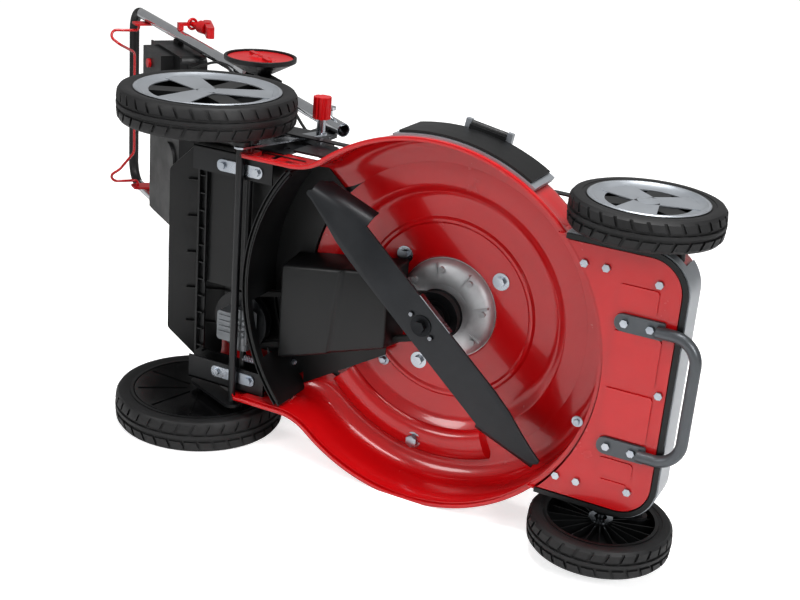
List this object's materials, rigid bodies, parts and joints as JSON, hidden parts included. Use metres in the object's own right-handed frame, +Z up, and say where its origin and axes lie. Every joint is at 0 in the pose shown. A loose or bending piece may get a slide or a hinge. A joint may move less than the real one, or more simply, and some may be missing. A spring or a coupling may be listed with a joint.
{
  "type": "lawn mower",
  "caption": "Self-propelled petrol rotary mower with stamped deck, rear and side discharge, wheels on crank axles, and a folding handle.",
  "frame": {"origin": "centre of the mower's footprint on the ground", "axes": "+X towards the front wheels, +Y to the mower's left, +Z up"},
  "size_m": [1.5872, 0.571, 0.9647],
  "materials": {
    "red_paint": "gloss",
    "steel_grey": "satin",
    "zinc": "satin",
    "black_plastic": "matte",
    "silver_plastic": "satin",
    "red_plastic": "gloss",
    "aluminium": "cast",
    "rubber_tyre": "matte",
    "belt_rubber": "matte",
    "blade_steel": "satin",
    "bright_steel": "satin",
    "iron": "rough",
    "tube_chrome": "bright",
    "cable_black": "matte"
  },
  "bodies": {
    "chassis": {"deck_shell": "red_paint", "front_plate": "red_paint", "front_fascia": "silver_plastic", "bumper_bar": "steel_grey", "deck_fasteners": "zinc", "axle_straps": "zinc", "belt_cover": "black_plastic", "rear_baffle": "black_plastic", "rear_floor": "black_plastic", "side_frame": "silver_plastic", "height_quadrant": "steel_grey", "handle_brackets": "steel_grey", "drive_belt": "belt_rubber", "tension_spring": "zinc", "engine_block": "aluminium", "blower_housing": "black_plastic", "recoil_cover": "red_plastic", "fuel_tank": "black_plastic", "fuel_cap": "red_plastic", "air_filter": "black_plastic", "muffler": "zinc", "cables_lower": "cable_black"},
    "rotor": {"crankshaft": "bright_steel", "flywheel": "aluminium", "blade_adaptor": "iron", "blade": "blade_steel", "blade_bolt": "zinc"},
    "gearbox": {"gearbox_case": "aluminium"},
    "gearbox_pulley": {"gearbox_pulley": "steel_grey"},
    "drive_shaft": {"drive_shaft": "steel_grey"},
    "pinion_right": {"pinion_right": "bright_steel"},
    "pinion_left": {"pinion_left": "bright_steel"},
    "rear_axle": {"rear_axle": "steel_grey", "dust_covers": "black_plastic", "height_lever": "bright_steel", "height_knob": "red_plastic"},
    "front_axle": {"front_axle": "steel_grey"},
    "link_rod": {"link_rod": "steel_grey"},
    "wheel_rear_right": {"rear_tyre_right": "rubber_tyre", "rear_hub_right": "silver_plastic"},
    "wheel_rear_left": {"rear_tyre_left": "rubber_tyre", "rear_hub_left": "silver_plastic"},
    "wheel_front_right": {"front_tyre_right": "rubber_tyre", "front_hub_right": "silver_plastic"},
    "wheel_front_left": {"front_tyre_left": "rubber_tyre", "front_hub_left": "silver_plastic"},
    "rear_door": {"rear_door": "black_plastic"},
    "side_door": {"side_door": "black_plastic"},
    "lower_handle": {"lower_tubes": "tube_chrome", "fold_hubs": "black_plastic"},
    "upper_handle": {"upper_tube": "tube_chrome", "console": "black_plastic", "handle_fittings": "red_plastic", "cables_upper": "cable_black"},
    "fold_disc_right": {"fold_disc_right": "red_plastic"},
    "fold_disc_left": {"fold_disc_left": "red_plastic"},
    "bail": {"bail": "red_paint"},
    "drive_lever": {"drive_lever": "red_plastic"},
    "start_button": {"start_button": "red_plastic"},
    "starter_grip": {"starter_grip": "red_plastic"}
  },
  "joints": [
    {"name": "blade_spin", "type": "hinge", "parent": "chassis", "child": "rotor", "pos_m": [0.38659, 0.00897, 0.1], "axis": [0, 0, 1], "continuous": true},
    {"name": "height_adjust", "type": "hinge", "parent": "chassis", "child": "rear_axle", "pos_m": [0.07359, 0.00897, 0.097], "axis": [0, 1, 0], "range_deg": [0, 22], "deforming": ["drive_belt", "tension_spring"]},
    {"name": "front_height", "type": "hinge", "parent": "chassis", "child": "front_axle", "pos_m": [0.73459, 0.00897, 0.112], "axis": [0, 1, 0], "range_deg": [0, 33.89]},
    {"name": "link_swing", "type": "hinge", "parent": "rear_axle", "child": "link_rod", "pos_m": [0.07359, -0.19743, 0.211], "axis": [0, 1, 0], "range_deg": [-22, 0]},
    {"name": "gearbox_swing", "type": "hinge", "parent": "rear_axle", "child": "gearbox", "pos_m": [0.07793, 0.09896, 0.1181], "axis": [0, 1, 0], "range_deg": [-22, 0]},
    {"name": "gearbox_input", "type": "hinge", "parent": "gearbox", "child": "gearbox_pulley", "pos_m": [0.05559, 0.09896, 0.15], "axis": [0, 0, 1], "continuous": true},
    {"name": "drive_shaft_spin", "type": "hinge", "parent": "rear_axle", "child": "drive_shaft", "pos_m": [0.07793, 0.00897, 0.1181], "axis": [0, 1, 0], "continuous": true},
    {"name": "wheel_rear_right_spin", "type": "hinge", "parent": "rear_axle", "child": "wheel_rear_right", "pos_m": [-0.01241, -0.23753, 0.1355], "axis": [0, 1, 0], "continuous": true},
    {"name": "wheel_rear_left_spin", "type": "hinge", "parent": "rear_axle", "child": "wheel_rear_left", "pos_m": [-0.01241, 0.25546, 0.1355], "axis": [0, 1, 0], "continuous": true},
    {"name": "pinion_right_spin", "type": "hinge", "parent": "rear_axle", "child": "pinion_right", "pos_m": [0.07793, -0.23753, 0.1181], "axis": [0, 1, 0], "continuous": true},
    {"name": "pinion_left_spin", "type": "hinge", "parent": "rear_axle", "child": "pinion_left", "pos_m": [0.07793, 0.25546, 0.1181], "axis": [0, 1, 0], "continuous": true},
    {"name": "wheel_front_right_spin", "type": "hinge", "parent": "front_axle", "child": "wheel_front_right", "pos_m": [0.68559, -0.22104, 0.1012], "axis": [0, 1, 0], "continuous": true},
    {"name": "wheel_front_left_spin", "type": "hinge", "parent": "front_axle", "child": "wheel_front_left", "pos_m": [0.68559, 0.23897, 0.1012], "axis": [0, 1, 0], "continuous": true},
    {"name": "rear_door_hinge", "type": "hinge", "parent": "chassis", "child": "rear_door", "pos_m": [0.04239, 0.00897, 0.2004], "axis": [0, 1, 0], "range_deg": [0, 55], "stiffness_Nm_per_rad": 2, "springref_deg": -34.38},
    {"name": "side_door_hinge", "type": "hinge", "parent": "chassis", "child": "side_door", "pos_m": [0.43404, -0.27459, 0.164], "axis": [-0.9863, -0.165, 0], "range_deg": [0, 65], "stiffness_Nm_per_rad": 1, "springref_deg": -22.92},
    {"name": "lower_handle_tilt", "type": "hinge", "parent": "chassis", "child": "lower_handle", "pos_m": [0.08415, 0.00897, 0.34005], "axis": [0, 1, 0], "range_deg": [-10, 0], "deforming": ["cables_lower"]},
    {"name": "upper_handle_fold", "type": "hinge", "parent": "lower_handle", "child": "upper_handle", "pos_m": [-0.16314, 0.00897, 0.51514], "axis": [0, 1, 0], "range_deg": [0, 140], "deforming": ["cables_upper"]},
    {"name": "fold_disc_right_turn", "type": "hinge", "parent": "lower_handle", "child": "fold_disc_right", "pos_m": [-0.16314, -0.19104, 0.51514], "axis": [0, 1, 0], "range_deg": [0, 90]},
    {"name": "fold_disc_left_turn", "type": "hinge", "parent": "lower_handle", "child": "fold_disc_left", "pos_m": [-0.16314, 0.20897, 0.51514], "axis": [0, 1, 0], "range_deg": [0, 90]},
    {"name": "bail_pull", "type": "hinge", "parent": "upper_handle", "child": "bail", "pos_m": [-0.71042, 0.00897, 0.87568], "axis": [0, 1, 0], "range_deg": [0, 60], "stiffness_Nm_per_rad": 0.4, "springref_deg": -51.57},
    {"name": "drive_lever_swing", "type": "hinge", "parent": "upper_handle", "child": "drive_lever", "pos_m": [-0.52625, -0.05103, 0.75508], "axis": [0, 1, 0], "range_deg": [0, 24]},
    {"name": "start_button_press", "type": "slide", "parent": "upper_handle", "child": "start_button", "axis": [0.5779, 0, 0.8161], "range_m": [0, 0.003], "stiffness_N_per_m": 300, "springref_m": -0.001},
    {"name": "starter_pull", "type": "slide", "parent": "upper_handle", "child": "starter_grip", "axis": [0.9241, 0, -0.3822], "range_m": [0, 0.6], "stiffness_N_per_m": 12, "springref_m": -0.6}
  ],
  "couplings": [
    {"joint": "front_height", "follows": "height_adjust", "ratio": 1.5405},
    {"joint": "link_swing", "follows": "height_adjust", "ratio": -1},
    {"joint": "gearbox_swing", "follows": "height_adjust", "ratio": -1},
    {"joint": "gearbox_input", "follows": "blade_spin", "ratio": 0.76191},
    {"joint": "pinion_right_spin", "follows": "wheel_rear_right_spin", "ratio": 8.6667},
    {"joint": "pinion_left_spin", "follows": "wheel_rear_left_spin", "ratio": 8.6667}
  ]
}
